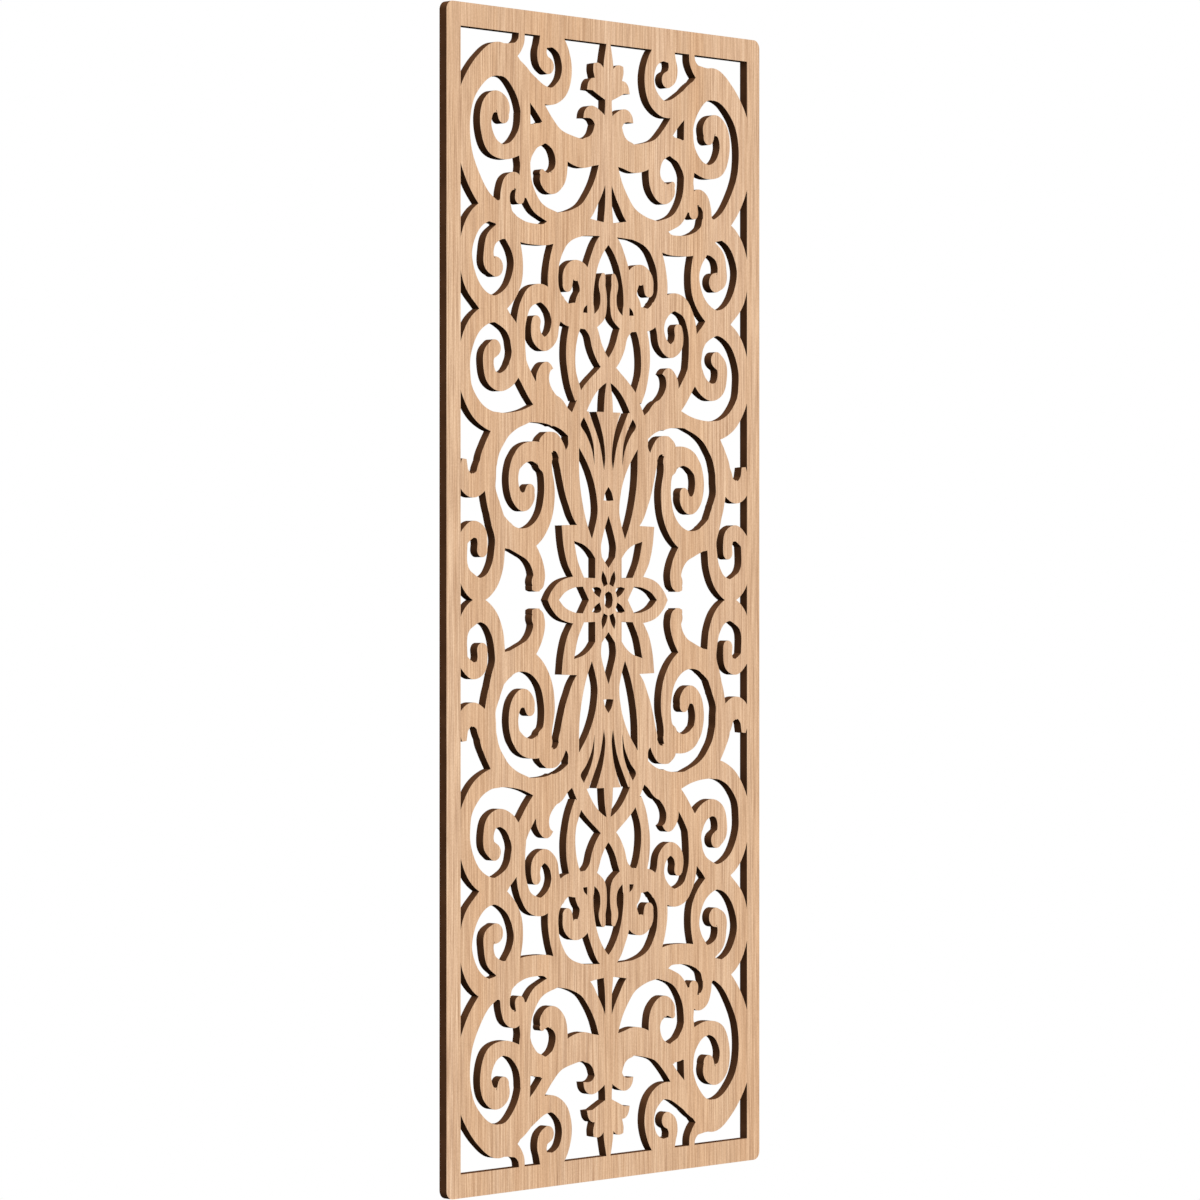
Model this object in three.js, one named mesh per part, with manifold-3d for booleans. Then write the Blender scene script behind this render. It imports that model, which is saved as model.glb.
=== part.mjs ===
// Carved fretwork grille: one flat board with a plain frame round a pierced pattern of scrolls and leaves.
// Millimetres, +Z up. The front faces -Y and the back lies in the plane Y = 0. The origin is on the back, in
// the middle of the top rail, where the grille is hung or fixed.
import * as THREE from 'three';
import { mergeVertices } from 'three/addons/utils/BufferGeometryUtils.js';
import Module from 'manifold-3d';

const wasm = await Module();
wasm.setup();

// Board
const panelWidth = 289;
const panelHeight = 746;
const panelThickness = 6.35;
const cornerRadius = 5.5;

// Frame
const stileWidth = 12.2;
const railHeight = 14.9;

// The pattern is drawn for the upper right quarter of a field of this size, from the panel's centre, and is
// then stretched to the frame's opening and mirrored to the other quarters.
const drawnHalfWidth = 132.3;
const drawnHalfHeight = 358.1;
const fieldHalfWidth = panelWidth / 2 - stileWidth;
const fieldHalfHeight = panelHeight / 2 - railHeight;
const stretchX = fieldHalfWidth / drawnHalfWidth;
const stretchZ = fieldHalfHeight / drawnHalfHeight;

// Facets: how finely a curve is followed while it is drawn, and how far the finished cut may leave it
const stepsPerPoint = 10;
const drawnError = 0.05;
const facetError = 0.62;
const degreesPerTipStep = 15;
const cornerSteps = 4;
const weldDistance = 1e-4;

// Bands: centre line points [x, z, width] of each scroll, with a round tip at the last point if round is set.
// A band 3 wide lies just inside the edge that two other bands share, and smooths it.
const bands = [
  // Corner scroll, from the heart of the pattern up along the stile and over the shoulder
  { round: false, line: [[100, 243, 14], [111.4, 251.3, 12], [120.5, 262.8, 12.3], [128, 278.9, 12],
    [130, 296, 11.6], [128.6, 311, 13.2], [123.9, 321.5, 14], [112.1, 334.4, 16.8], [99, 340.2, 21.5],
    [88.2, 336.3, 18.4], [79.1, 324.2, 13.8], [75.4, 309, 8.8], [75, 296, 11.4], [75.6, 276, 9.2],
    [73.4, 262.2, 9], [66, 250.4, 9.2], [59.2, 246.3, 8.4], [48, 242.6, 9]] },
  { round: false, line: [[94, 342.4, 17.4], [87, 346, 11], [82.2, 349, 7.4], [79.2, 353.4, 5.8],
    [78.5, 360, 4.8]] },
  { round: true, line: [[75.5, 291, 13.4], [84.2, 284.8, 10], [94, 282, 9.2], [105, 285.8, 11],
    [110.4, 298.5, 9.8], [108, 309.4, 11.6], [101.6, 313.2, 14], [96, 311, 13], [94.8, 304.8, 9.7]] },
  { round: false, line: [[78.4, 308, 3], [78.8, 301.6, 3], [80.1, 296.8, 3], [82.5, 292.8, 3],
    [85.7, 289.2, 3], [89.3, 286.7, 3], [94.5, 285.2, 3]] },

  // Diagonal from the shoulder to the heart
  { round: false, line: [[90, 338, 14], [80.5, 331.5, 16.4], [72.8, 325, 15.4], [64.3, 315, 9.8],
    [54.3, 303.2, 9.2], [46, 293.7, 13.6], [34, 288, 17.6], [24, 286, 18.4], [14, 286.8, 15.8],
    [-2, 288.6, 14]] },
  { round: true, line: [[76, 276, 9], [74.7, 284, 12.2], [69.4, 292.4, 14.6], [63.4, 295.5, 14.8],
    [57, 296.6, 13.2], [47.4, 292, 13.2], [43.5, 283.4, 11], [43.1, 276, 11.1], [45.9, 269.2, 13.4],
    [51.9, 265.3, 14.3], [57.2, 267.3, 11.6], [60.3, 271.2, 4.6]] },

  // Crown volute below the top rail
  { round: false, line: [[55.5, 359.8, 18.6], [48, 357, 13], [41.4, 350.6, 9.6], [38.2, 341, 8.9],
    [39.1, 332.4, 9.5], [43, 325.6, 10.9], [50.6, 320.7, 10.8], [60, 321.3, 11.7], [73.4, 329.5, 10.4]] },
  { round: true, line: [[56.8, 362, 9], [59.6, 352.5, 7.6], [60.6, 347, 8.7], [58.8, 341.8, 10.2],
    [55.2, 339.5, 10.5]] },

  // Small volute below the corner scroll
  { round: true, line: [[100, 242, 12], [96, 246.4, 13.6], [93.8, 250.4, 9.2], [93, 257.2, 8.4],
    [89.6, 262.8, 10.6], [84.5, 264.5, 11], [80.3, 261, 7.8], [80.4, 254.3, 8.6]] },
  { round: false, line: [[77.5, 275, 5], [77.3, 266, 7], [76.5, 254.2, 6.6]] },
  { round: false, line: [[90.4, 250.4, 3.2], [88.6, 244.4, 3.6], [84, 241.6, 2.4]] },

  // Heart: the belly that ties the scrolls together, and the blade that rises from it
  { round: false, line: [[115.5, 248.6, 1.6], [109, 243.6, 10], [99, 242.8, 14.4], [91, 237.4, 15.8],
    [78, 232.9, 14], [66, 231.8, 13.4], [57, 232.3, 13.8], [45, 237.2, 18.4], [37, 238.5, 18],
    [27, 240.3, 15.4], [18, 239.3, 11.4], [-2, 238.4, 8]] },
  { round: false, line: [[46, 240.6, 12.2], [34, 243.2, 11.6], [21.5, 248.6, 12], [14.2, 257.5, 10.6],
    [8.3, 267.5, 9.9], [4, 280, 9]] },
  { round: false, line: [[0, 234, 8], [0, 243, 8.6], [0, 254, 6.4], [0, 266, 6], [0, 282, 10]] },

  // Upper ring beside the stile
  { round: false, line: [[106, 246, 14], [117.3, 239.8, 13], [124, 231.3, 12.2], [128, 217, 11.2],
    [123.6, 199.4, 12.2], [114.3, 189, 12], [104, 183.6, 16.4], [95.2, 187.9, 11.6], [87.7, 194.4, 10.2],
    [83.2, 202.6, 9.6], [81.7, 213, 8.2], [83.5, 221.5, 9.2], [87.4, 229.4, 11.8], [93, 237, 12]] },
  { round: true, line: [[92, 234, 13.6], [98.6, 231.5, 10.2], [105.4, 226.6, 9.2], [107.8, 218.5, 8.5],
    [106.7, 211.6, 11], [101.6, 209.5, 12.8]] },

  // Lower ring beside the stile
  { round: false, line: [[98, 182, 14], [108.5, 179.5, 12], [117.8, 174.2, 11.6], [124, 166.5, 11.2],
    [128.9, 153, 10.6], [129.4, 142, 11], [126.9, 131.3, 10.2], [117.7, 118.7, 11.5], [107, 112.8, 12.4],
    [98, 111.4, 13]] },
  { round: false, line: [[100, 182.6, 15], [92.9, 176.5, 11], [86.3, 170.5, 9.8], [82.3, 159.6, 11.4],
    [80.2, 149.6, 12], [74.5, 140.4, 11.3], [68.3, 132.2, 11.5], [61.4, 125, 12], [56, 118, 12]] },
  { round: true, line: [[80, 152, 14], [84.8, 145.9, 12], [90, 140.1, 11.6], [98, 137, 11.4],
    [105, 139.8, 10.4], [108, 147.5, 9.2], [107.2, 154.5, 10], [102.6, 158.4, 10.8]] },
  { round: false, line: [[108, 178, 3], [102, 175.9, 3], [96.5, 173.6, 3], [91, 170, 3], [87.4, 164, 3],
    [86.1, 157.5, 3], [86.8, 152.5, 3], [88.2, 149.5, 3], [90.5, 144, 3]] },

  // Loop between the rings and the middle
  { round: false, line: [[40, 238, 20], [44.4, 227.6, 11.2], [48.8, 217, 9], [50.6, 206.5, 9.3],
    [49.8, 197, 10], [45.5, 188.5, 12.4], [38.4, 182.6, 14.2], [28, 182, 16], [18, 179.6, 12],
    [12, 180.2, 7]] },
  { round: false, line: [[47.4, 207, 3], [46.5, 214.2, 3], [44.3, 220.6, 3], [41.2, 225.4, 3],
    [37.4, 229.2, 3], [33.1, 231.8, 3], [28.5, 233.4, 3], [22.2, 234.9, 3], [13, 235.7, 3]] },
  { round: false, line: [[79.2, 150, 9.4], [80, 160, 9], [79.5, 173, 8], [77.8, 181, 8.8],
    [74.8, 187.6, 9.4], [69.2, 192.8, 11.8], [61, 194.7, 11.8], [53, 190.6, 12], [48, 185, 12]] },
  { round: true, line: [[47.5, 193, 12], [47, 189, 15.4], [47.4, 185, 14.4], [48.5, 176, 7.4],
    [51.2, 167.2, 8.6], [58.2, 162.6, 9], [64.8, 166.4, 9.2], [66.4, 172.5, 8.2], [65.7, 176.6, 7.8]] },

  // Volute that hangs inside the loop, and the ogee ribbon from the axis to it
  { round: true, line: [[22, 183, 18], [21.9, 190, 16.8], [20.2, 197.5, 12.6], [21.2, 204.5, 13.2],
    [25.2, 210, 12.8], [31, 210.7, 13.4], [36.3, 208, 10.6], [37.6, 201, 8.6]] },
  { round: false, line: [[-1.5, 235, 8], [6, 229.4, 9.4], [11.6, 220.6, 8.5], [15.3, 211.6, 8.5],
    [17.5, 202, 8.6], [18.4, 194, 8.4]] },

  // Tine beside the axis
  { round: true, line: [[13.5, 178.2, 8.4], [7, 183.4, 8.2], [4.8, 189, 6.4], [4.6, 196, 5.9],
    [5.9, 202.5, 6.2], [5.4, 206, 5.6], [4.8, 208.4, 4.2]] },

  // Crossing ribbons below the tines
  { round: false, line: [[20, 180, 12], [13.8, 171.9, 9], [10.5, 163, 9.3], [5.8, 155.4, 9.5],
    [-2, 148, 9]] },
  { round: false, line: [[-2, 148.6, 14], [7, 143.2, 10.6], [14.5, 137.4, 10.4], [20.8, 130.6, 11.4],
    [26, 121.5, 11.4], [30, 112, 14]] },
  { round: false, line: [[27, 184, 14], [31.1, 174.5, 10], [33.7, 165.5, 9.1], [34.6, 155, 8.3],
    [33.5, 145.5, 7.6], [30.8, 137, 8.2], [27, 129, 8]] },
  { round: false, line: [[0, 152, 2], [0, 141, 3.4], [0, 136, 5.2], [0, 130, 7.2], [0, 119, 8.6]] },

  // Bridge below the loop, to the waist
  { round: false, line: [[100, 111.4, 12.6], [90, 112.3, 11.6], [77, 116, 8.6], [63, 119, 13.2],
    [50, 120.4, 20.2], [42, 116.4, 15.8], [34.4, 110.8, 13], [24, 104, 16]] },

  // Side scroll
  { round: false, line: [[103.4, 92, 7], [99, 98.4, 7.4], [92.8, 106, 7.5], [84.4, 111, 6.5],
    [76, 114, 6], [68, 116.4, 5]] },
  { round: false, line: [[96, 113, 14], [99.9, 103.3, 13.7], [104.8, 95, 13.8], [108.1, 86, 15],
    [107.2, 77, 11.6], [106.5, 69.5, 9.6], [103.6, 60, 11], [99.8, 51, 11.6]] },
  { round: false, line: [[103.6, 61, 10.8], [100.5, 50, 11], [97.8, 39, 9.2], [98.3, 31, 9.2],
    [100.4, 20.5, 10.4], [106.4, 10.9, 12.4], [116.4, 6.4, 15.2], [126, 12.2, 13], [130, 21, 8],
    [130, 38, 7.4]] },
  { round: false, line: [[101, 51, 12], [92.8, 41.5, 16.8], [84, 38.8, 14], [74, 38.4, 14.4],
    [66, 42.2, 13], [60.2, 48, 11.6], [56.3, 55, 10.6], [54.3, 63.4, 10], [53.9, 72, 9.2],
    [55.7, 82, 8.6], [57.5, 86.4, 12.8], [59.4, 91.2, 15], [69.5, 94.2, 12.6], [78, 91.7, 11.6],
    [84, 85.5, 8.8]] },
  { round: true, line: [[78, 91.7, 11.6], [83.6, 86.4, 9], [86, 76, 8.5], [83.2, 65.6, 9.6], [77, 62, 12],
    [72.6, 65, 10.8], [71.2, 69.4, 8.2]] },
  { round: false, line: [[62.8, 100.2, 1.5], [60.4, 101.2, 5.4], [57.2, 101, 11.8], [53.5, 100.4, 13.4],
    [49.5, 100.5, 12.2], [44.7, 97.3, 8.7], [41.4, 91.5, 8], [38, 86, 10]] },
  { round: true, line: [[88, 39, 14], [76, 34.6, 15], [69.3, 29.1, 12], [64.8, 22.3, 10.7],
    [63.1, 15.5, 10.6], [64.1, 11.5, 11.2]] },
  { round: false, line: [[63, 8.4, 6], [66.6, 7.8, 5], [69.4, 7.5, 2.4]] },

  // Hooks on the stile beside the side scroll
  { round: false, line: [[106.5, 90, 13], [110, 82, 15], [113.6, 75.6, 14], [121.5, 71.5, 15],
    [127.3, 74.5, 14], [129.6, 80.5, 8.6], [129.4, 84.6, 6], [129, 88.2, 3.8]] },
  { round: true, line: [[133, 34, 8], [127.5, 40.5, 9.5], [121, 44.3, 10.6], [115, 42, 10],
    [113.3, 36.5, 8.7], [113.5, 31.3, 9]] },

  // Finial below the crown: spike, stalk and foot
  { round: false, line: [[0, 326, 8], [0, 343.5, 9], [0, 351, 6.8], [0, 360, 2.8]] },
  { round: false, line: [[0, 327, 6.2], [0, 318, 6.2], [0, 308, 8]] },
  { round: false, line: [[0, 280, 20], [0, 292, 56], [0, 295.6, 46], [0, 297.6, 35], [0, 300.6, 29],
    [0, 306, 24.8]] },

  // Waist of the pattern, from the fan of reeds down to the rosette
  { round: false, line: [[0, 121, 40], [0, 117, 54], [0, 112, 68], [0, 105, 73.8], [0, 99, 73.8],
    [0, 94.5, 80.6], [0, 90, 91.4], [0, 83, 88], [0, 73, 82.6], [0, 66, 78], [0, 60, 72.6], [0, 54, 67],
    [0, 49.5, 60.6], [0, 40, 40]] },
];

// Outlines: solid leaves and petals, each a ring of smooth stretches that meet at corners
const leaves = [
  // Upper petal, side petal and curled leaf of the finial
  [[[4.4, 342.4], [7, 344.6], [10, 345.4], [13.7, 344.6]], [[13.7, 344.6], [14, 340.6], [12.6, 335.4]],
    [[12.6, 335.4], [0, 328]], [[0, 328], [4.4, 342.4]]],
  [[[12.4, 335.5], [15.8, 334.8], [18.4, 332.2], [19.8, 327.4]], [[19.8, 327.4], [14.6, 327.3]],
    [[14.6, 327.3], [9.4, 324.8], [3.4, 322.1]], [[3.4, 322.1], [0, 328]], [[0, 328], [12.4, 335.5]]],
  [[[0, 308], [4.2, 312.5], [8, 314.9], [12, 316.8], [16, 317.3], [19.8, 315.8], [22.2, 312.9],
    [23.1, 308.9]], [[23.1, 308.9], [17, 309.1], [14.3, 307.9], [12.3, 305]], [[12.3, 305], [8, 298]],
    [[8, 298], [0, 300]], [[0, 300], [0, 308]]],
  // Curled leaf below the loop
  [[[66, 137], [65.4, 143], [63, 147.4], [59.5, 150.6], [55.8, 151.4], [52.8, 150], [50.5, 147.3]],
    [[50.5, 147.3], [53, 145.6], [54.2, 142], [53.9, 138.6], [52, 134.8], [48.6, 131.2], [44, 127.6],
    [38, 123], [33, 119.6]], [[33, 119.6], [40, 112]], [[40, 112], [66, 118]], [[66, 118], [66, 137]]],
  // Oblique petal of the rosette
  [[[-2, 48], [29, 48], [42.8, 47.6]], [[42.8, 47.6], [41.2, 35], [37.8, 23.6], [32.6, 15.1]],
    [[32.6, 15.1], [-2, 15.1]], [[-2, 15.1], [-2, 48]]],
  // Level petal of the rosette
  [[[-2, 15.4], [31.6, 15.1], [44.6, 11.7], [51.9, 5.6], [55.5, 0]], [[55.5, 0], [-2, 0]], [[-2, 0],
    [-2, 15.4]]],
];

// Openings cut through the solid places
const cuts = [
  // Triangles beside the corner scroll and beside the hanging volute
  [[[71.2, 315], [70.9, 301.4]], [[70.9, 301.4], [61.4, 302.7]], [[61.4, 302.7], [66.3, 307.9],
    [71.2, 315]]],
  [[[19.4, 184], [19.5, 189.4]], [[19.5, 189.4], [22.4, 187], [23.4, 184.2]], [[23.4, 184.2],
    [19.4, 184]]],
  // Outer and inner slits between the reeds
  [[[19, 122.2], [14.1, 113], [8.1, 100.2], [4.1, 83.4]], [[4.1, 83.4], [3, 91.4], [4.7, 104],
    [7.9, 113.4], [11.6, 121.6]], [[11.6, 121.6], [19, 122.2]]],
  [[[22.6, 117.2], [25.6, 112.3], [20.4, 105.8], [15.5, 97], [12.7, 86.2]], [[12.7, 86.2], [13.8, 99.6],
    [17.2, 108.6], [22.6, 117.2]]],
  // Leaf-shaped slit between the reed and the waist
  [[[27.2, 97.8], [19.9, 88.2], [15.1, 79.5], [11.6, 69.5], [10.1, 56.5], [12.4, 47], [15.3, 39.2]],
    [[15.3, 39.2], [20, 49.5], [24.2, 63.5], [26.6, 78], [27.2, 97.8]]],
  // Small triangle and lance on the axis
  [[[0, 72.8], [2.8, 69.4], [4.6, 64.2]], [[4.6, 64.2], [0, 63.8]], [[0, 63.8], [0, 72.8]]],
  [[[0, 54.2], [3.6, 45.5], [6.9, 34.5], [6.2, 27.6]], [[6.2, 27.6], [0, 20.6]], [[0, 20.6], [0, 54.2]]],
  // Hearts of the oblique and level petals
  [[[31.6, 37.8], [22.4, 35.2], [16, 31], [12.2, 26.8]], [[12.2, 26.8], [12.2, 14]], [[12.2, 14],
    [22.6, 14.4]], [[22.6, 14.4], [28, 24.6], [31.6, 37.8]]],
  [[[18, 0], [23.6, 8.6]], [[23.6, 8.6], [31, 8], [39.8, 4.8], [45.3, 0]], [[45.3, 0], [18, 0]]],
  // Two seeds of the ring in the rosette, and the round hole in its middle
  [[[5.5, 18.9], [2.5, 15], [0.7, 10.1]], [[0.7, 10.1], [4.4, 8.5]], [[4.4, 8.5], [6.5, 13.4],
    [5.5, 18.9]]],
  [[[15.3, 7.4], [11.6, 8.4], [8.2, 7.9]], [[8.2, 7.9], [6.6, 6.4], [8.2, 1.6]], [[8.2, 1.6], [12.3, 3.9],
    [15.3, 7.4]]],
  [[[0, 0], [0, 5.6]], [[0, 5.6], [2.9, 4], [4, 0]], [[4, 0], [0, 0]]],
];

const mirrors = [[1, 1], [-1, 1], [1, -1], [-1, -1]];

// One prism through the board from a closed outline in the plane of the panel
function prism(outline) {
  const shape = new THREE.Shape(outline.map(([x, z]) => new THREE.Vector2(x, z)));
  const geometry = new THREE.ExtrudeGeometry(shape, { depth: panelThickness, bevelEnabled: false });
  geometry.deleteAttribute('normal');
  geometry.deleteAttribute('uv');
  const merged = mergeVertices(geometry, weldDistance);
  const vertProperties = Float32Array.from(merged.getAttribute('position').array);
  const triVerts = Uint32Array.from(merged.index.array);
  return new wasm.Manifold(new wasm.Mesh({ numProp: 3, vertProperties, triVerts }));
}

function joined(solids) {
  return solids.reduce((all, solid) => all.add(solid));
}

// Keeps only the points that a curve needs to stay within the error
function thin(points, error) {
  const [a, b] = [points[0], points[points.length - 1]];
  const span = Math.hypot(b[0] - a[0], b[1] - a[1]);
  let worst = 0;
  let split = 0;
  for (let i = 1; i < points.length - 1; i++) {
    const [dx, dz] = [points[i][0] - a[0], points[i][1] - a[1]];
    const off = span > 0 ? Math.abs(dx * (b[1] - a[1]) - dz * (b[0] - a[0])) / span : Math.hypot(dx, dz);
    if (off > worst) {
      worst = off;
      split = i;
    }
  }
  if (worst < error) return [a, b];
  return [...thin(points.slice(0, split + 1), error).slice(0, -1), ...thin(points.slice(split), error)];
}

// A smooth curve through the knots; the third number of a knot, its width, is carried along
function smooth(knots) {
  const curve = new THREE.CatmullRomCurve3(knots, false, 'centripetal');
  return { curve, steps: (knots.length - 1) * stepsPerPoint };
}

// The outline of a band: its two sides, half the width off the centre line, and its round tip
function bandOutline({ line, round }) {
  const knots = line.map(([x, z, width]) => (
    new THREE.Vector3(x * stretchX, z * stretchZ, width * stretchX)
  ));
  const { curve, steps } = smooth(knots);
  const left = [];
  const right = [];
  for (let i = 0; i <= steps; i++) {
    const { x, y: z, z: width } = curve.getPoint(i / steps);
    const along = curve.getTangent(i / steps);
    const reach = width / 2 / Math.hypot(along.x, along.y);
    left.push([x - along.y * reach, z + along.x * reach]);
    right.push([x + along.y * reach, z - along.x * reach]);
  }
  const tip = [];
  if (round) {
    const end = knots[knots.length - 1];
    const start = Math.atan2(left[steps][1] - end.y, left[steps][0] - end.x);
    const tipSteps = 180 / degreesPerTipStep;
    for (let i = 1; i < tipSteps; i++) {
      const angle = start - Math.PI * i / tipSteps;
      tip.push([end.x + end.z / 2 * Math.cos(angle), end.y + end.z / 2 * Math.sin(angle)]);
    }
  }
  const there = thin(withoutFolds(left), drawnError);
  const back = thin(withoutFolds(right), drawnError).reverse();
  return [...there, ...tip, ...back];
}

// Where a side folds over itself inside a tight turn, the fold is cut off at its crossing
function withoutFolds(points) {
  const kept = [...points];
  for (let i = 0; i < kept.length - 3; i++) {
    for (let j = kept.length - 2; j > i + 1; j--) {
      const crossing = crossingPoint(kept[i], kept[i + 1], kept[j], kept[j + 1]);
      if (crossing) {
        kept.splice(i + 1, j - i, crossing);
        break;
      }
    }
  }
  return kept;
}

function crossingPoint(a, b, c, d) {
  const [rx, rz, sx, sz] = [b[0] - a[0], b[1] - a[1], d[0] - c[0], d[1] - c[1]];
  const spread = rx * sz - rz * sx;
  const t = ((c[0] - a[0]) * sz - (c[1] - a[1]) * sx) / spread;
  const u = ((c[0] - a[0]) * rz - (c[1] - a[1]) * rx) / spread;
  const crosses = t > 0 && t < 1 && u > 0 && u < 1;
  return crosses ? [a[0] + t * rx, a[1] + t * rz] : null;
}

// The outline of a leaf or a cut: smooth stretches that share their corner points
function ringOutline(stretches) {
  return stretches.flatMap((stretch) => {
    const knots = stretch.map(([x, z]) => new THREE.Vector3(x * stretchX, z * stretchZ, 0));
    const { curve, steps } = smooth(knots);
    const points = curve.getPoints(steps).map(({ x, y: z }) => [x, z]);
    return thin(points, drawnError).slice(0, -1);
  });
}

function roundedRectangle(halfWidth, halfHeight, radius) {
  const points = [];
  for (const [sx, sz, start] of [[1, 1, 0], [-1, 1, 90], [-1, -1, 180], [1, -1, 270]]) {
    for (let i = 0; i <= cornerSteps; i++) {
      const angle = THREE.MathUtils.degToRad(start + 90 * i / cornerSteps);
      points.push([sx * (halfWidth - radius) + radius * Math.cos(angle),
        sz * (halfHeight - radius) + radius * Math.sin(angle)]);
    }
  }
  return points;
}

// The outline of every separate block of a flat solid, followed round its top face
function blockOutlines(solid) {
  const { vertProperties, triVerts } = solid.getMesh();
  const edges = new Map();
  for (let i = 0; i < triVerts.length; i += 3) {
    const corners = [...triVerts.slice(i, i + 3)].map((v) => vertProperties.slice(3 * v, 3 * v + 3));
    if (corners.some(([, , depth]) => depth < panelThickness / 2)) continue;
    const names = corners.map(([x, z]) => `${x} ${z}`);
    names.forEach((from, k) => {
      const to = names[(k + 1) % 3];
      if (!edges.delete(`${to} ${from}`)) edges.set(`${from} ${to}`, [from, to]);
    });
  }
  const next = new Map(edges.values());
  const outlines = [];
  while (next.size > 0) {
    const outline = [];
    let [point] = next.keys();
    while (next.has(point)) {
      outline.push(point.split(' ').map(Number));
      const following = next.get(point);
      next.delete(point);
      point = following;
    }
    outlines.push(outline);
  }
  return outlines;
}

// A closed outline with fewer points, cut at its first point and at the point farthest from it. Where that
// much error would make a narrow place cross itself, the outline is followed twice as closely.
function thinRing(outline, error) {
  const [x0, z0] = outline[0];
  const distances = outline.map(([x, z]) => Math.hypot(x - x0, z - z0));
  const far = distances.indexOf(Math.max(...distances));
  const there = thin(outline.slice(0, far + 1), error);
  const back = thin([...outline.slice(far), outline[0]], error);
  const ring = [...there.slice(0, -1), ...back.slice(0, -1)];
  return crossesItself(ring) ? thinRing(outline, error / 2) : ring;
}

function crossesItself(ring) {
  const sides = ring.map((point, i) => [point, ring[(i + 1) % ring.length]]);
  return sides.some(([a, b], i) => sides.slice(i + 2).some(([c, d]) => crossingPoint(a, b, c, d)));
}

// The openings of the upper right quarter: its field, less the pattern, and the cuts
const field = prism([[0, 0], [fieldHalfWidth, 0], [fieldHalfWidth, fieldHalfHeight], [0, fieldHalfHeight]]);
const pattern = joined([...bands.map(bandOutline), ...leaves.map(ringOutline)].map(prism));
const cutsInPattern = joined(cuts.map(ringOutline).map(prism));
const openings = blockOutlines(field.subtract(pattern).add(cutsInPattern))
  .map((outline) => thinRing(outline, facetError));

// The board, with the openings cut through it in every quarter
const board = prism(roundedRectangle(panelWidth / 2, panelHeight / 2, cornerRadius));
const everyOpening = openings.flatMap((outline) => (
  mirrors.map(([mx, mz]) => prism(outline.map(([x, z]) => [x * mx, z * mz])))
));
const fretwork = board.subtract(joined(everyOpening));

const { vertProperties, triVerts } = fretwork.getMesh();
const geometry = new THREE.BufferGeometry();
geometry.setAttribute('position', new THREE.BufferAttribute(Float32Array.from(vertProperties), 3));
geometry.setIndex(new THREE.BufferAttribute(Uint32Array.from(triVerts), 1));
geometry.computeVertexNormals();

const wood = new THREE.MeshStandardMaterial({ color: 0xdcb693, roughness: 0.62, metalness: 0 });
const panel = new THREE.Mesh(geometry, wood);
panel.name = 'fretwork_panel';
panel.rotation.x = Math.PI / 2;
panel.position.z = railHeight / 2 - panelHeight / 2;

const grille = new THREE.Group();
grille.add(panel);

export default grille;
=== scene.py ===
import math
import bmesh
import bpy
from mathutils import Matrix, Vector
from mathutils.geometry import delaunay_2d_cdt, intersect_line_line_2d


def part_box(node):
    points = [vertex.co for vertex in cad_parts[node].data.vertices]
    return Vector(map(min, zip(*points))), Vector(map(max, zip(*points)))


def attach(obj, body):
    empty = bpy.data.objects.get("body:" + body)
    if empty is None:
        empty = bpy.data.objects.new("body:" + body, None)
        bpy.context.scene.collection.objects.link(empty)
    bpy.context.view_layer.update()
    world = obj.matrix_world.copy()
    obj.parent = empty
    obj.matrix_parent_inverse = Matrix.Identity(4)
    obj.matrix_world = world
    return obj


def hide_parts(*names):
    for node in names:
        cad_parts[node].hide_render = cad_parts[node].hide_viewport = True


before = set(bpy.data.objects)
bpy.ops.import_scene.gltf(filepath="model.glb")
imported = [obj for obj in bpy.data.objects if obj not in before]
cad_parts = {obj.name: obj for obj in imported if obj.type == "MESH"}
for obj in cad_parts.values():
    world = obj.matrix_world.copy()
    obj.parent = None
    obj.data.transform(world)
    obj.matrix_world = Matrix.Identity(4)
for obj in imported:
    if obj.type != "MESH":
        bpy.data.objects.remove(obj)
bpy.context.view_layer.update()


# The camera looks along the level line of sight of the photograph, from the grille's left side.
# It stands at the height of the board's middle.
board_low, board_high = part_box("fretwork_panel")
front_centre = Vector(((board_low.x + board_high.x) / 2, board_low.y, (board_low.z + board_high.z) / 2))
view_turn = math.radians(45.742)
view_distance = 2.90796
image_size = 1200
focal_pixels = 4513.5
grille_right_of_middle = 8.5
line_of_sight = Vector((math.sin(view_turn), math.cos(view_turn), 0))
to_the_right = Vector((math.cos(view_turn), -math.sin(view_turn), 0))
camera = bpy.data.objects.new("camera", bpy.data.cameras.new("camera"))
bpy.context.scene.collection.objects.link(camera)
camera.data.sensor_width = 36
camera.data.lens = camera.data.sensor_width * focal_pixels / image_size
camera.data.clip_end = 50
camera.location = (front_centre - line_of_sight * view_distance
                   - to_the_right * grille_right_of_middle * view_distance / focal_pixels)
camera.rotation_mode = "QUATERNION"
camera.rotation_quaternion = line_of_sight.to_track_quat("-Z", "Y")
bpy.context.scene.camera = camera


# The pattern, as it is drawn for the laser: one quarter of the sheet, in mm from the sheet's middle.
# Scrolls are bands that taper and curl, some of them with a round tip. A few leaves and petals are solid,
# and slits and small holes are cut through them.
mm_per_metre = 1000
half_width = (board_high.x - board_low.x) / 2 * mm_per_metre
half_height = (board_high.z - board_low.z) / 2 * mm_per_metre
corner_radius = 5.5
stile_width = 12.2
rail_height = 14.9
field_half_width = half_width - stile_width
field_half_height = half_height - rail_height
step_length = 1.1
tip_steps = 12

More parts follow.
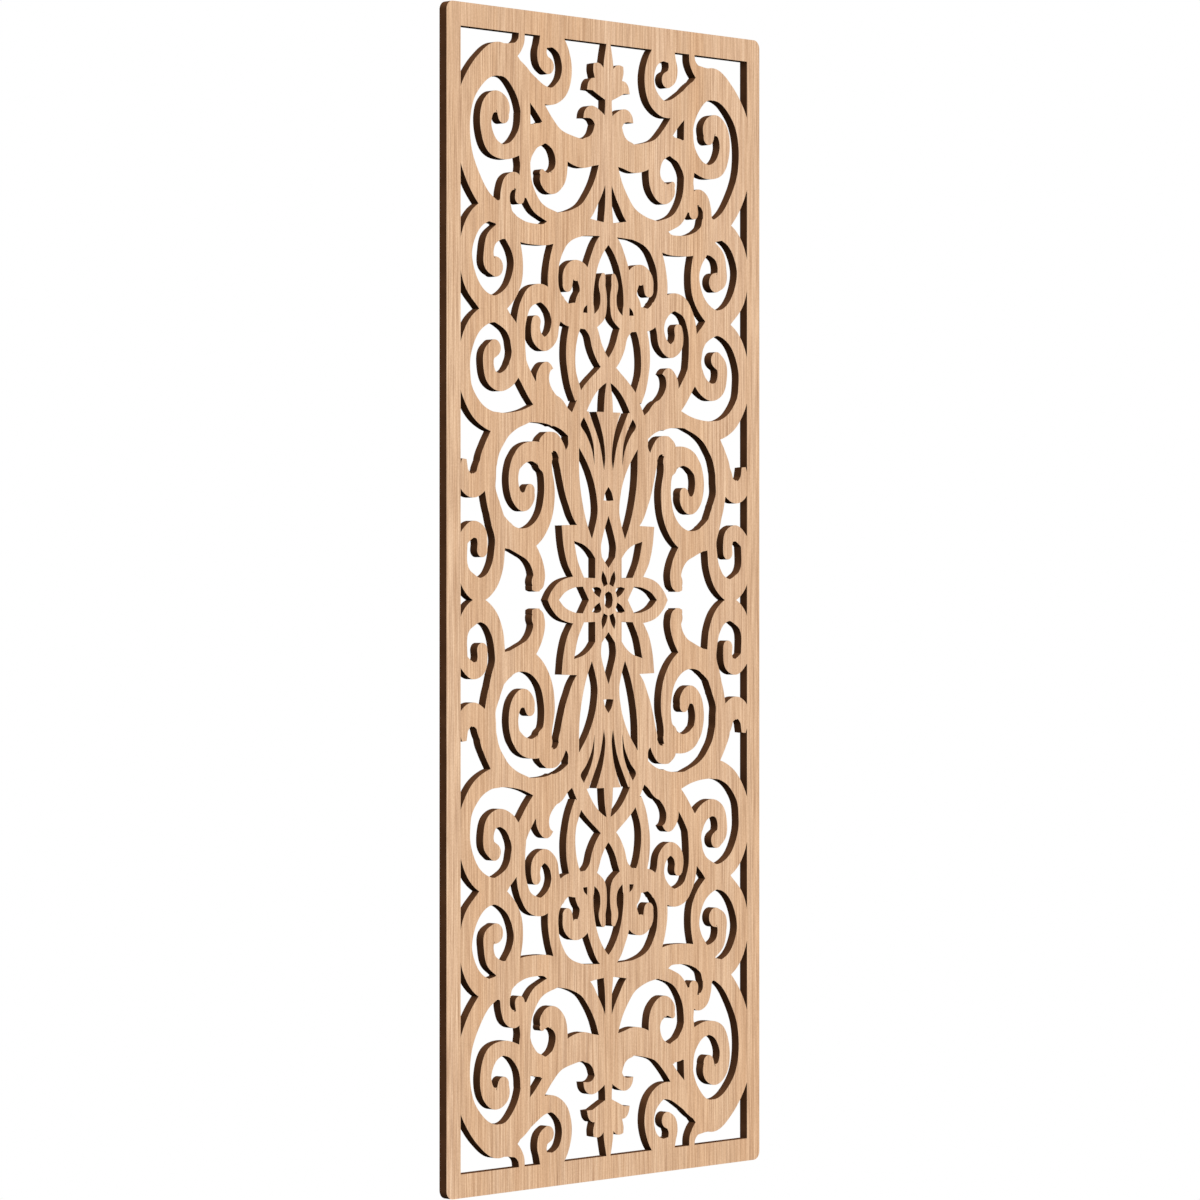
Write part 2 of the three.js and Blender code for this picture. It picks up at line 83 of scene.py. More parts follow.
# Bands: whether the last point has a round tip, and the centre line of the scroll as (x, z, width).
# A band 3 wide lies just inside the edge that two other bands share, and smooths it.
bands = [
    # Corner scroll, from the heart of the pattern up along the stile and over the shoulder
    (False, [(100, 243, 14), (111.4, 251.3, 12), (120.5, 262.8, 12.3), (128, 278.9, 12), (130, 296, 11.6),
      (128.6, 311, 13.2), (123.9, 321.5, 14), (112.1, 334.4, 16.8), (99, 340.2, 21.5),
      (88.2, 336.3, 18.4), (79.1, 324.2, 13.8), (75.4, 309, 8.8), (75, 296, 11.4), (75.6, 276, 9.2),
      (73.4, 262.2, 9), (66, 250.4, 9.2), (59.2, 246.3, 8.4), (48, 242.6, 9)]),
    (False, [(94, 342.4, 17.4), (87, 346, 11), (82.2, 349, 7.4), (79.2, 353.4, 5.8), (78.5, 360, 4.8)]),
    (True, [(75.5, 291, 13.4), (84.2, 284.8, 10), (94, 282, 9.2), (105, 285.8, 11), (110.4, 298.5, 9.8),
      (108, 309.4, 11.6), (101.6, 313.2, 14), (96, 311, 13), (94.8, 304.8, 9.7)]),
    (False, [(78.4, 308, 3), (78.8, 301.6, 3), (80.1, 296.8, 3), (82.5, 292.8, 3), (85.7, 289.2, 3),
      (89.3, 286.7, 3), (94.5, 285.2, 3)]),

    # Diagonal from the shoulder to the heart
    (False, [(90, 338, 14), (80.5, 331.5, 16.4), (72.8, 325, 15.4), (64.3, 315, 9.8), (54.3, 303.2, 9.2),
      (46, 293.7, 13.6), (34, 288, 17.6), (24, 286, 18.4), (14, 286.8, 15.8), (-2, 288.6, 14)]),
    (True, [(76, 276, 9), (74.7, 284, 12.2), (69.4, 292.4, 14.6), (63.4, 295.5, 14.8), (57, 296.6, 13.2),
      (47.4, 292, 13.2), (43.5, 283.4, 11), (43.1, 276, 11.1), (45.9, 269.2, 13.4), (51.9, 265.3, 14.3),
      (57.2, 267.3, 11.6), (60.3, 271.2, 4.6)]),

    # Crown volute below the top rail
    (False, [(55.5, 359.8, 18.6), (48, 357, 13), (41.4, 350.6, 9.6), (38.2, 341, 8.9), (39.1, 332.4, 9.5),
      (43, 325.6, 10.9), (50.6, 320.7, 10.8), (60, 321.3, 11.7), (73.4, 329.5, 10.4)]),
    (True, [(56.8, 362, 9), (59.6, 352.5, 7.6), (60.6, 347, 8.7), (58.8, 341.8, 10.2),
      (55.2, 339.5, 10.5)]),

    # Small volute below the corner scroll
    (True, [(100, 242, 12), (96, 246.4, 13.6), (93.8, 250.4, 9.2), (93, 257.2, 8.4), (89.6, 262.8, 10.6),
      (84.5, 264.5, 11), (80.3, 261, 7.8), (80.4, 254.3, 8.6)]),
    (False, [(77.5, 275, 5), (77.3, 266, 7), (76.5, 254.2, 6.6)]),
    (False, [(90.4, 250.4, 3.2), (88.6, 244.4, 3.6), (84, 241.6, 2.4)]),

    # Heart: the belly that ties the scrolls together, and the blade that rises from it
    (False, [(115.5, 248.6, 1.6), (109, 243.6, 10), (99, 242.8, 14.4), (91, 237.4, 15.8), (78, 232.9, 14),
      (66, 231.8, 13.4), (57, 232.3, 13.8), (45, 237.2, 18.4), (37, 238.5, 18), (27, 240.3, 15.4),
      (18, 239.3, 11.4), (-2, 238.4, 8)]),
    (False, [(46, 240.6, 12.2), (34, 243.2, 11.6), (21.5, 248.6, 12), (14.2, 257.5, 10.6),
      (8.3, 267.5, 9.9), (4, 280, 9)]),
    (False, [(0, 234, 8), (0, 243, 8.6), (0, 254, 6.4), (0, 266, 6), (0, 282, 10)]),

    # Upper ring beside the stile
    (False, [(106, 246, 14), (117.3, 239.8, 13), (124, 231.3, 12.2), (128, 217, 11.2),
      (123.6, 199.4, 12.2), (114.3, 189, 12), (104, 183.6, 16.4), (95.2, 187.9, 11.6),
      (87.7, 194.4, 10.2), (83.2, 202.6, 9.6), (81.7, 213, 8.2), (83.5, 221.5, 9.2), (87.4, 229.4, 11.8),
      (93, 237, 12)]),
    (True, [(92, 234, 13.6), (98.6, 231.5, 10.2), (105.4, 226.6, 9.2), (107.8, 218.5, 8.5),
      (106.7, 211.6, 11), (101.6, 209.5, 12.8)]),

    # Lower ring beside the stile
    (False, [(98, 182, 14), (108.5, 179.5, 12), (117.8, 174.2, 11.6), (124, 166.5, 11.2),
      (128.9, 153, 10.6), (129.4, 142, 11), (126.9, 131.3, 10.2), (117.7, 118.7, 11.5),
      (107, 112.8, 12.4), (98, 111.4, 13)]),
    (False, [(100, 182.6, 15), (92.9, 176.5, 11), (86.3, 170.5, 9.8), (82.3, 159.6, 11.4),
      (80.2, 149.6, 12), (74.5, 140.4, 11.3), (68.3, 132.2, 11.5), (61.4, 125, 12), (56, 118, 12)]),
    (True, [(80, 152, 14), (84.8, 145.9, 12), (90, 140.1, 11.6), (98, 137, 11.4), (105, 139.8, 10.4),
      (108, 147.5, 9.2), (107.2, 154.5, 10), (102.6, 158.4, 10.8)]),
    (False, [(108, 178, 3), (102, 175.9, 3), (96.5, 173.6, 3), (91, 170, 3), (87.4, 164, 3),
      (86.1, 157.5, 3), (86.8, 152.5, 3), (88.2, 149.5, 3), (90.5, 144, 3)]),

    # Loop between the rings and the middle
    (False, [(40, 238, 20), (44.4, 227.6, 11.2), (48.8, 217, 9), (50.6, 206.5, 9.3), (49.8, 197, 10),
      (45.5, 188.5, 12.4), (38.4, 182.6, 14.2), (28, 182, 16), (18, 179.6, 12), (12, 180.2, 7)]),
    (False, [(47.4, 207, 3), (46.5, 214.2, 3), (44.3, 220.6, 3), (41.2, 225.4, 3), (37.4, 229.2, 3),
      (33.1, 231.8, 3), (28.5, 233.4, 3), (22.2, 234.9, 3), (13, 235.7, 3)]),
    (False, [(79.2, 150, 9.4), (80, 160, 9), (79.5, 173, 8), (77.8, 181, 8.8), (74.8, 187.6, 9.4),
      (69.2, 192.8, 11.8), (61, 194.7, 11.8), (53, 190.6, 12), (48, 185, 12)]),
    (True, [(47.5, 193, 12), (47, 189, 15.4), (47.4, 185, 14.4), (48.5, 176, 7.4), (51.2, 167.2, 8.6),
      (58.2, 162.6, 9), (64.8, 166.4, 9.2), (66.4, 172.5, 8.2), (65.7, 176.6, 7.8)]),

    # Volute that hangs inside the loop, and the ogee ribbon from the axis to it
    (True, [(22, 183, 18), (21.9, 190, 16.8), (20.2, 197.5, 12.6), (21.2, 204.5, 13.2), (25.2, 210, 12.8),
      (31, 210.7, 13.4), (36.3, 208, 10.6), (37.6, 201, 8.6)]),
    (False, [(-1.5, 235, 8), (6, 229.4, 9.4), (11.6, 220.6, 8.5), (15.3, 211.6, 8.5), (17.5, 202, 8.6),
      (18.4, 194, 8.4)]),

    # Tine beside the axis
    (True, [(13.5, 178.2, 8.4), (7, 183.4, 8.2), (4.8, 189, 6.4), (4.6, 196, 5.9), (5.9, 202.5, 6.2),
      (5.4, 206, 5.6), (4.8, 208.4, 4.2)]),

    # Crossing ribbons below the tines
    (False, [(20, 180, 12), (13.8, 171.9, 9), (10.5, 163, 9.3), (5.8, 155.4, 9.5), (-2, 148, 9)]),
    (False, [(-2, 148.6, 14), (7, 143.2, 10.6), (14.5, 137.4, 10.4), (20.8, 130.6, 11.4),
      (26, 121.5, 11.4), (30, 112, 14)]),
    (False, [(27, 184, 14), (31.1, 174.5, 10), (33.7, 165.5, 9.1), (34.6, 155, 8.3), (33.5, 145.5, 7.6),
      (30.8, 137, 8.2), (27, 129, 8)]),
    (False, [(0, 152, 2), (0, 141, 3.4), (0, 136, 5.2), (0, 130, 7.2), (0, 119, 8.6)]),

    # Bridge below the loop, to the waist
    (False, [(100, 111.4, 12.6), (90, 112.3, 11.6), (77, 116, 8.6), (63, 119, 13.2), (50, 120.4, 20.2),
      (42, 116.4, 15.8), (34.4, 110.8, 13), (24, 104, 16)]),

    # Side scroll
    (False, [(103.4, 92, 7), (99, 98.4, 7.4), (92.8, 106, 7.5), (84.4, 111, 6.5), (76, 114, 6),
      (68, 116.4, 5)]),
    (False, [(96, 113, 14), (99.9, 103.3, 13.7), (104.8, 95, 13.8), (108.1, 86, 15), (107.2, 77, 11.6),
      (106.5, 69.5, 9.6), (103.6, 60, 11), (99.8, 51, 11.6)]),
    (False, [(103.6, 61, 10.8), (100.5, 50, 11), (97.8, 39, 9.2), (98.3, 31, 9.2), (100.4, 20.5, 10.4),
      (106.4, 10.9, 12.4), (116.4, 6.4, 15.2), (126, 12.2, 13), (130, 21, 8), (130, 38, 7.4)]),
    (False, [(101, 51, 12), (92.8, 41.5, 16.8), (84, 38.8, 14), (74, 38.4, 14.4), (66, 42.2, 13),
      (60.2, 48, 11.6), (56.3, 55, 10.6), (54.3, 63.4, 10), (53.9, 72, 9.2), (55.7, 82, 8.6),
      (57.5, 86.4, 12.8), (59.4, 91.2, 15), (69.5, 94.2, 12.6), (78, 91.7, 11.6), (84, 85.5, 8.8)]),
    (True, [(78, 91.7, 11.6), (83.6, 86.4, 9), (86, 76, 8.5), (83.2, 65.6, 9.6), (77, 62, 12),
      (72.6, 65, 10.8), (71.2, 69.4, 8.2)]),
    (False, [(62.8, 100.2, 1.5), (60.4, 101.2, 5.4), (57.2, 101, 11.8), (53.5, 100.4, 13.4),
      (49.5, 100.5, 12.2), (44.7, 97.3, 8.7), (41.4, 91.5, 8), (38, 86, 10)]),
    (True, [(88, 39, 14), (76, 34.6, 15), (69.3, 29.1, 12), (64.8, 22.3, 10.7), (63.1, 15.5, 10.6),
      (64.1, 11.5, 11.2)]),
    (False, [(63, 8.4, 6), (66.6, 7.8, 5), (69.4, 7.5, 2.4)]),

    # Hooks on the stile beside the side scroll
    (False, [(106.5, 90, 13), (110, 82, 15), (113.6, 75.6, 14), (121.5, 71.5, 15), (127.3, 74.5, 14),
      (129.6, 80.5, 8.6), (129.4, 84.6, 6), (129, 88.2, 3.8)]),
    (True, [(133, 34, 8), (127.5, 40.5, 9.5), (121, 44.3, 10.6), (115, 42, 10), (113.3, 36.5, 8.7),
      (113.5, 31.3, 9)]),

    # Finial below the crown: spike, stalk and foot
    (False, [(0, 326, 8), (0, 343.5, 9), (0, 351, 6.8), (0, 360, 2.8)]),
    (False, [(0, 327, 6.2), (0, 318, 6.2), (0, 308, 8)]),
    (False, [(0, 280, 20), (0, 292, 56), (0, 295.6, 46), (0, 297.6, 35), (0, 300.6, 29), (0, 306, 24.8)]),

    # Waist of the pattern, from the fan of reeds down to the rosette
    (False, [(0, 121, 40), (0, 117, 54), (0, 112, 68), (0, 105, 73.8), (0, 99, 73.8), (0, 94.5, 80.6),
      (0, 90, 91.4), (0, 83, 88), (0, 73, 82.6), (0, 66, 78), (0, 60, 72.6), (0, 54, 67), (0, 49.5, 60.6),
      (0, 40, 40)]),
]

# Solid leaves and petals, each a ring of smooth stretches that meet at corners
leaves = [
    # Upper petal, side petal and curled leaf of the finial
    [[(4.4, 342.4), (7, 344.6), (10, 345.4), (13.7, 344.6)], [(13.7, 344.6), (14, 340.6), (12.6, 335.4)],
      [(12.6, 335.4), (0, 328)], [(0, 328), (4.4, 342.4)]],
    [[(12.4, 335.5), (15.8, 334.8), (18.4, 332.2), (19.8, 327.4)], [(19.8, 327.4), (14.6, 327.3)],
      [(14.6, 327.3), (9.4, 324.8), (3.4, 322.1)], [(3.4, 322.1), (0, 328)], [(0, 328), (12.4, 335.5)]],
    [[(0, 308), (4.2, 312.5), (8, 314.9), (12, 316.8), (16, 317.3), (19.8, 315.8), (22.2, 312.9),
      (23.1, 308.9)], [(23.1, 308.9), (17, 309.1), (14.3, 307.9), (12.3, 305)], [(12.3, 305), (8, 298)],
      [(8, 298), (0, 300)], [(0, 300), (0, 308)]],
    # Curled leaf below the loop
    [[(66, 137), (65.4, 143), (63, 147.4), (59.5, 150.6), (55.8, 151.4), (52.8, 150), (50.5, 147.3)],
      [(50.5, 147.3), (53, 145.6), (54.2, 142), (53.9, 138.6), (52, 134.8), (48.6, 131.2), (44, 127.6),
      (38, 123), (33, 119.6)], [(33, 119.6), (40, 112)], [(40, 112), (66, 118)], [(66, 118), (66, 137)]],
    # Oblique petal of the rosette
    [[(-2, 48), (29, 48), (42.8, 47.6)], [(42.8, 47.6), (41.2, 35), (37.8, 23.6), (32.6, 15.1)],
      [(32.6, 15.1), (-2, 15.1)], [(-2, 15.1), (-2, 48)]],
    # Level petal of the rosette
    [[(-2, 15.4), (31.6, 15.1), (44.6, 11.7), (51.9, 5.6), (55.5, 0)], [(55.5, 0), (-2, 0)], [(-2, 0),
      (-2, 15.4)]],
]

# Openings cut through the solid places
cuts = [
    # Triangles beside the corner scroll and beside the hanging volute
    [[(71.2, 315), (70.9, 301.4)], [(70.9, 301.4), (61.4, 302.7)], [(61.4, 302.7), (66.3, 307.9),
      (71.2, 315)]],
    [[(19.4, 184), (19.5, 189.4)], [(19.5, 189.4), (22.4, 187), (23.4, 184.2)], [(23.4, 184.2),
      (19.4, 184)]],
    # Outer and inner slits between the reeds
    [[(19, 122.2), (14.1, 113), (8.1, 100.2), (4.1, 83.4)], [(4.1, 83.4), (3, 91.4), (4.7, 104),
      (7.9, 113.4), (11.6, 121.6)], [(11.6, 121.6), (19, 122.2)]],
    [[(22.6, 117.2), (25.6, 112.3), (20.4, 105.8), (15.5, 97), (12.7, 86.2)], [(12.7, 86.2), (13.8, 99.6),
      (17.2, 108.6), (22.6, 117.2)]],
    # Leaf-shaped slit between the reed and the waist
    [[(27.2, 97.8), (19.9, 88.2), (15.1, 79.5), (11.6, 69.5), (10.1, 56.5), (12.4, 47), (15.3, 39.2)],
      [(15.3, 39.2), (20, 49.5), (24.2, 63.5), (26.6, 78), (27.2, 97.8)]],
    # Small triangle and lance on the axis
    [[(0, 72.8), (2.8, 69.4), (4.6, 64.2)], [(4.6, 64.2), (0, 63.8)], [(0, 63.8), (0, 72.8)]],
    [[(0, 54.2), (3.6, 45.5), (6.9, 34.5), (6.2, 27.6)], [(6.2, 27.6), (0, 20.6)], [(0, 20.6),
      (0, 54.2)]],
    # Hearts of the oblique and level petals
    [[(31.6, 37.8), (22.4, 35.2), (16, 31), (12.2, 26.8)], [(12.2, 26.8), (12.2, 14)], [(12.2, 14),
      (22.6, 14.4)], [(22.6, 14.4), (28, 24.6), (31.6, 37.8)]],
    [[(18, 0), (23.6, 8.6)], [(23.6, 8.6), (31, 8), (39.8, 4.8), (45.3, 0)], [(45.3, 0), (18, 0)]],
    # Two seeds of the ring in the rosette, and the round hole in its middle
    [[(5.5, 18.9), (2.5, 15), (0.7, 10.1)], [(0.7, 10.1), (4.4, 8.5)], [(4.4, 8.5), (6.5, 13.4),
      (5.5, 18.9)]],
    [[(15.3, 7.4), (11.6, 8.4), (8.2, 7.9)], [(8.2, 7.9), (6.6, 6.4), (8.2, 1.6)], [(8.2, 1.6),
      (12.3, 3.9), (15.3, 7.4)]],
    [[(0, 0), (0, 5.6)], [(0, 5.6), (2.9, 4), (4, 0)], [(4, 0), (0, 0)]],
]


def smooth(knots):
    """Points and directions along the smooth curve through the knots, about step_length apart."""
    ends = [2 * knots[0] - knots[1], *knots, 2 * knots[-1] - knots[-2]]
    places = []
    for before, start, end, after in zip(ends, ends[1:], ends[2:], ends[3:]):
        into, span, out = [(b - a).length ** 0.5 for a, b in ((before, start), (start, end), (end, after))]
        leave = span * ((start - before) / into - (end - before) / (into + span) + (end - start) / span)
        arrive = span * ((end - start) / span - (after - start) / (span + out) + (after - end) / out)
        steps = math.ceil((end - start).length / step_length)
        for step in range(steps + (end is knots[-1])):
            t = step / steps
            place = (start * (2 * t ** 3 - 3 * t ** 2 + 1) + leave * (t ** 3 - 2 * t ** 2 + t)
                     + end * (3 * t ** 2 - 2 * t ** 3) + arrive * (t ** 3 - t ** 2))
            heading = (start * (6 * t * t - 6 * t) + leave * (3 * t * t - 4 * t + 1)
                       + end * (6 * t - 6 * t * t) + arrive * (3 * t * t - 2 * t))
            places.append((place, heading.xy.normalized()))
    return places


def without_folds(side):
    """Where a side folds over itself inside a tight turn, the fold is cut off at its crossing."""
    kept = list(side)
    i = 0
    while i < len(kept) - 3:
        for j in range(len(kept) - 2, i + 1, -1):
            crossing = intersect_line_line_2d(kept[i], kept[i + 1], kept[j], kept[j + 1])
            if crossing:
                kept[i + 1:j + 1] = [crossing]
                break
        i += 1
    return kept


def band_outline(round_tip, line):
    """The two sides of a band, half its width off the centre line, and its round tip."""
    along = smooth([Vector(knot) for knot in line])
    left = [place.xy + Vector((-heading.y, heading.x)) * place.z / 2 for place, heading in along]
    right = [place.xy - Vector((-heading.y, heading.x)) * place.z / 2 for place, heading in along]
    tip = []
    if round_tip:
        middle = (left[-1] + right[-1]) / 2
        tip = [middle + Matrix.Rotation(-math.pi * i / tip_steps, 2) @ (left[-1] - middle)
               for i in range(1, tip_steps)]
    return without_folds(left) + tip + without_folds(right)[::-1]


def ring_outline(stretches):
    """The outline of a leaf or an opening: its smooth stretches, which share their corners."""
    return [place.xy for stretch in stretches
            for place, heading in smooth([Vector((*corner, 0)) for corner in stretch])[:-1]]


def rounded_corner(right, top, radius):
    """A quarter of a circle, from the right side of a corner round to its top."""
    turns = [math.radians(90 * i / tip_steps) for i in range(tip_steps + 1)]
    middle = Vector((right - radius, top - radius))
    return [middle + radius * Vector((math.cos(turn), math.sin(turn))) for turn in turns]


# One quarter of the sheet is drawn as overlapping outlines. Wood stays in the frame and wherever a band or
# a leaf lies, and the openings go through it.
board_quarter = [Vector((0, 0)), Vector((half_width, 0)),
                 *rounded_corner(half_width, half_height, corner_radius), Vector((0, half_height))]
field_quarter = [Vector((0, 0)), Vector((field_half_width, 0)),
                 Vector((field_half_width, field_half_height)), Vector((0, field_half_height))]
drawn = [board_quarter, field_quarter, *[band_outline(*band) for band in bands],
         *[ring_outline(leaf) for leaf in leaves], *[ring_outline(cut) for cut in cuts]]
board_number = 0
field_number = 1
first_wood = 2
first_cut = len(drawn) - len(cuts)
triangles_inside = 1
quarter_snap = 1e-6
corners = []
drawn_faces = []
for ring in drawn:
    area = sum(a.cross(b) for a, b in zip(ring, ring[1:] + ring[:1]))
    drawn_faces.append(list(range(len(corners), len(corners) + len(ring))))
    corners += ring if area > 0 else ring[::-1]
places, _, pieces, _, _, covers = delaunay_2d_cdt(corners, [], drawn_faces, triangles_inside, quarter_snap)
wood_pieces = []
for piece, covered_by in zip(pieces, covers):
    in_board = board_number in covered_by
    in_field = field_number in covered_by
    in_pattern = any(first_wood <= number < first_cut for number in covered_by)
    in_cut = any(number >= first_cut for number in covered_by)
    if in_board and (not in_field or (in_pattern and not in_cut)):
        wood_pieces.append(piece)
borders = set()
for piece in wood_pieces:
    for a, b in zip(piece, piece[1:] + piece[:1]):
        if (b, a) in borders:
            borders.remove((b, a))
        else:
            borders.add((a, b))

# The four quarters mirror each other. Only the border of the wood is kept: where wood meets wood on a
# centre line of the sheet, there is no border.
sheet_snap = 1e-5
mirrored = []
for a, b in borders:
    ends = [places[a], places[b]]
    if any(all(abs(end[axis]) < sheet_snap for end in ends) for axis in (0, 1)):
        continue
    for across in (1, -1):
        for up in (1, -1):
            mirrored += [Vector((end.x * across, end.y * up)) for end in ends]
cut_chords = [(i, i + 1) for i in range(0, len(mirrored), 2)]
sheet = delaunay_2d_cdt(mirrored, cut_chords, [], triangles_inside, sheet_snap)
sheet_points, sheet_lines, sheet_faces, _, cut_numbers, _ = sheet


# The board itself: one sheet of bare light wood, 6.35 mm thick, cut right through along that outline.
# Its front is filled between the cuts and drawn back through the thickness.
sharp_corner = math.radians(35)
board_shape = bmesh.new()
points = [board_shape.verts.new((front_centre.x + x / mm_per_metre, board_low.y,
                                 front_centre.z + z / mm_per_metre))
          for x, z in sheet_points]
for face in sheet_faces:
    board_shape.faces.new([points[i] for i in face])
cut_lines = {board_shape.edges.get((points[i], points[j]))
             for (i, j), numbers in zip(sheet_lines, cut_numbers) if numbers}

# What falls out of the cuts is waste: the grille is all that hangs together with the sheet's outer edge.
rim = next(edge for edge in board_shape.edges if len(edge.link_faces) == 1)
grille_faces = set()
spreading = [rim.link_faces[0]]
while spreading:
    face = spreading.pop()
    if face not in grille_faces:
        grille_faces.add(face)
        spreading += [beside for edge in face.edges if edge not in cut_lines for beside in edge.link_faces]
waste = [face for face in board_shape.faces if face not in grille_faces]
bmesh.ops.delete(board_shape, geom=waste, context="FACES")
drawn_back = bmesh.ops.extrude_face_region(board_shape, geom=board_shape.faces[:], use_keep_orig=True)
back_points = [part for part in drawn_back["geom"] if isinstance(part, bmesh.types.BMVert)]
bmesh.ops.translate(board_shape, verts=back_points, vec=(0, board_high.y - board_low.y, 0))
bmesh.ops.recalc_face_normals(board_shape, faces=board_shape.faces[:])
for face in board_shape.faces:
    is_wall = abs(face.normal.y) < 0.5
    face.material_index = 1 if is_wall else 0
    face.smooth = is_wall
for edge in board_shape.edges:
    edge.smooth = edge.calc_face_angle(0) < sharp_corner
board = bpy.data.objects.new("fretwork_board", bpy.data.meshes.new("fretwork_board"))
board_shape.to_mesh(board.data)
board_shape.free()
bpy.context.scene.collection.objects.link(board)
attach(board, "root")
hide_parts("fretwork_panel")

# The front and back of the sheet are bare sanded wood. Its fine straight grain runs upright over frame
# and pattern alike, in pale and tan lines, with some faintly pink stripes and tiny pores.
grain_wander = 0.006
wood = bpy.data.materials.new("bare_wood")
wood.use_nodes = True
nodes, links = wood.node_tree.nodes, wood.node_tree.links
shader = nodes["Principled BSDF"]
shader.inputs["Roughness"].default_value = 0.6
shader.inputs["Specular IOR Level"].default_value = 0.25
place = nodes.new("ShaderNodeTexCoord")
warp_scale = nodes.new("ShaderNodeMapping")
warp_scale.inputs["Scale"].default_value = (6, 6, 2.2)
links.new(place.outputs["Object"], warp_scale.inputs["Vector"])
warp = nodes.new("ShaderNodeTexNoise")
warp.inputs["Scale"].default_value = 1
warp.inputs["Detail"].default_value = 2
links.new(warp_scale.outputs["Vector"], warp.inputs["Vector"])
warp_amount = nodes.new("ShaderNodeVectorMath")
warp_amount.operation = "MULTIPLY_ADD"
warp_amount.inputs[1].default_value = (grain_wander, 0, 0)
links.new(warp.outputs["Color"], warp_amount.inputs[0])
links.new(place.outputs["Object"], warp_amount.inputs[2])


def grain_lines(across, along, detail, roughness):
    """Upright streaks: a noise drawn out along the grain, with this many cells to the metre each way."""
    stretch = nodes.new("ShaderNodeMapping")
    stretch.inputs["Scale"].default_value = (across, 40, along)
    links.new(warp_amount.outputs["Vector"], stretch.inputs["Vector"])
    lines = nodes.new("ShaderNodeTexNoise")
    lines.inputs["Scale"].default_value = 1
    lines.inputs["Detail"].default_value = detail
    lines.inputs["Roughness"].default_value = roughness
    links.new(stretch.outputs["Vector"], lines.inputs["Vector"])
    return lines.outputs["Fac"]


def ramp(mask, stops):
    """Colours, or greys, laid over a mask: pairs of place and linear colour."""
    colours = nodes.new("ShaderNodeValToRGB")
    while len(colours.color_ramp.elements) < len(stops):
        colours.color_ramp.elements.new(0.5)
    for element, (at, colour) in zip(colours.color_ramp.elements, stops):
        element.position = at
        element.color = (*colour, 1)
    links.new(mask, colours.inputs["Fac"])
    return colours.outputs["Color"]


def mixed(way, amount, first, second):
    """The second colour laid over the first, in this way and by this much."""
    mix = nodes.new("ShaderNodeMix")
    mix.data_type = "RGBA"
    mix.blend_type = way
    mix.inputs["Factor"].default_value = amount
    links.new(first, mix.inputs["A"])
    links.new(second, mix.inputs["B"])
    return mix.outputs["Result"]


broad = ramp(grain_lines(28, 0.8, 2, 0.5),
             [(0.35, (0.626, 0.383, 0.219)), (0.5, (0.620, 0.394, 0.236)), (0.66, (0.642, 0.415, 0.258))])
streaks = ramp(grain_lines(420, 4, 3, 0.6),
               [(0.3, (0.89, 0.845, 0.80)), (0.5, (1.0, 1.0, 1.0)), (0.7, (1.055, 1.095, 1.14))])
fine_grain = grain_lines(1800, 25, 2, 0.55)
fine = ramp(fine_grain,
            [(0.3, (0.66, 0.60, 0.56)), (0.52, (1.0, 1.0, 1.0)), (0.75, (1.23, 1.32, 1.39))])
pores = ramp(grain_lines(1400, 900, 1, 0.5),
             [(0.3, (0.93, 0.92, 0.90)), (0.7, (1.07, 1.08, 1.10))])
stripes = mixed("MULTIPLY", 1, broad, streaks)
lines = mixed("MULTIPLY", 1, stripes, fine)
links.new(mixed("MULTIPLY", 1, lines, pores), shader.inputs["Base Color"])
bump = nodes.new("ShaderNodeBump")
bump.inputs["Strength"].default_value = 0.12
bump.inputs["Distance"].default_value = 0.0002
links.new(fine_grain, bump.inputs["Height"])
links.new(bump.outputs["Normal"], shader.inputs["Normal"])
board.data.materials.append(wood)

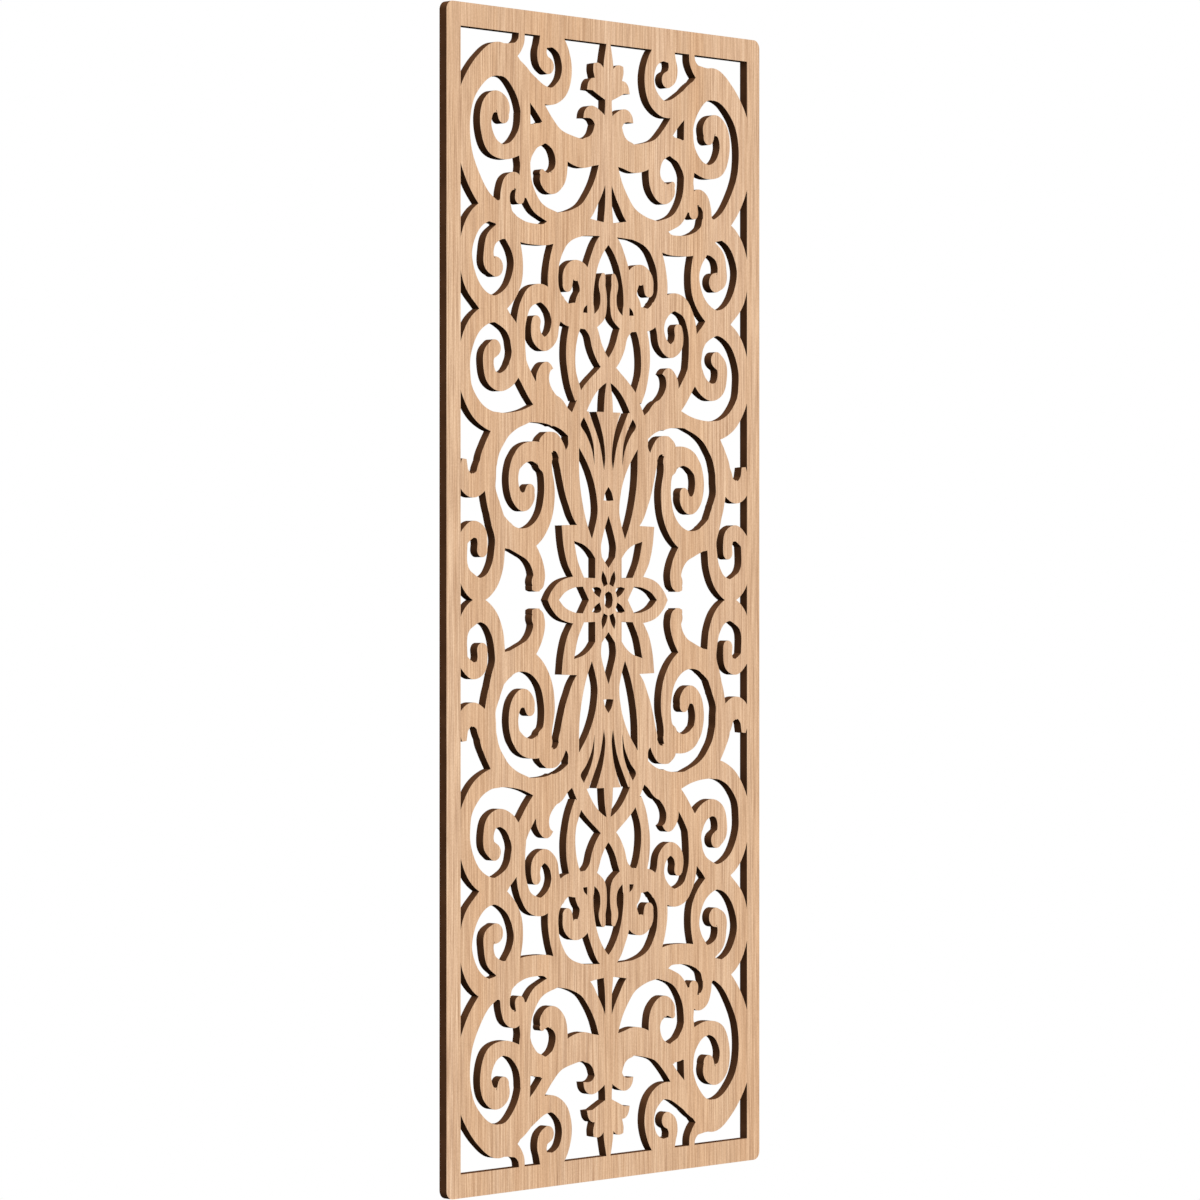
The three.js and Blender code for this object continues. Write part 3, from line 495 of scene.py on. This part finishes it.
# Every wall of the cuts, and the board's outer edge, is scorched dark brown by the laser. Painted shade
# and light: the walls that face down are painted darker and the ones that face up a lighter, warmer brown.
scorch = bpy.data.materials.new("scorched_cut")
scorch.use_nodes = True
nodes, links = scorch.node_tree.nodes, scorch.node_tree.links
shader = nodes["Principled BSDF"]
shader.inputs["Roughness"].default_value = 0.95
shader.inputs["Specular IOR Level"].default_value = 0
facing = nodes.new("ShaderNodeTexCoord")
split = nodes.new("ShaderNodeSeparateXYZ")
links.new(facing.outputs["Normal"], split.inputs["Vector"])
upward = nodes.new("ShaderNodeMapRange")
upward.inputs["From Min"].default_value = -1
upward.inputs["From Max"].default_value = 1
links.new(split.outputs["Z"], upward.inputs["Value"])
# Painted shade and light by facing: darkest on down-facing walls, lighter and warmer on up-facing ones, as
# light from above would fall.
painted_shade_by_facing = ramp(upward.outputs["Result"],
             [(0.05, (0.010, 0.0045, 0.002)), (0.5, (0.050, 0.0215, 0.0098)),
              (0.95, (0.115, 0.05, 0.0225))])
soot = nodes.new("ShaderNodeTexNoise")
soot.inputs["Scale"].default_value = 90
soot.inputs["Detail"].default_value = 4
links.new(facing.outputs["Object"], soot.inputs["Vector"])
blotches = ramp(soot.outputs["Fac"], [(0.3, (0.82, 0.80, 0.78)), (0.7, (1.15, 1.15, 1.15))])
links.new(mixed("MULTIPLY", 1, painted_shade_by_facing, blotches), shader.inputs["Base Color"])
board.data.materials.append(scorch)


# Plain pale floor, round and matt, well below the hanging grille.
# The grille doesn't stand on it.
floor_drop = 0.75
floor_radius = 2.2
floor_shape = bmesh.new()
bmesh.ops.create_circle(floor_shape, cap_ends=True, segments=96, radius=floor_radius)
bmesh.ops.translate(floor_shape, verts=floor_shape.verts, vec=(0, 0, board_low.z - floor_drop))
floor = bpy.data.objects.new("floor", bpy.data.meshes.new("floor"))
floor_shape.to_mesh(floor.data)
floor_shape.free()
bpy.context.scene.collection.objects.link(floor)
floor_paint = bpy.data.materials.new("pale_floor")
floor_paint.use_nodes = True
floor_shader = floor_paint.node_tree.nodes["Principled BSDF"]
floor_shader.inputs["Base Color"].default_value = (0.8, 0.8, 0.8, 1)
floor_shader.inputs["Roughness"].default_value = 0.9
floor.data.materials.append(floor_paint)

# Studio light: an even white surround, and one large soft lamp far off, high up to the camera's left.
room = bpy.data.worlds.new("studio")
room.use_nodes = True
surround = room.node_tree.nodes["Background"]
surround.inputs["Color"].default_value = (1, 1, 1, 1)
surround.inputs["Strength"].default_value = 1.0
bpy.context.scene.world = room
bpy.context.scene.view_settings.view_transform = "Standard"
lamp_offset = Vector((-5.9, -7.6, 6.7))
lamp = bpy.data.objects.new("soft_lamp", bpy.data.lights.new("soft_lamp", "AREA"))
lamp.data.size = 7.5
lamp.data.energy = 486
lamp.location = front_centre + lamp_offset
lamp.rotation_mode = "QUATERNION"
lamp.rotation_quaternion = (front_centre - lamp.location).to_track_quat("-Z", "Y")
bpy.context.scene.collection.objects.link(lamp)
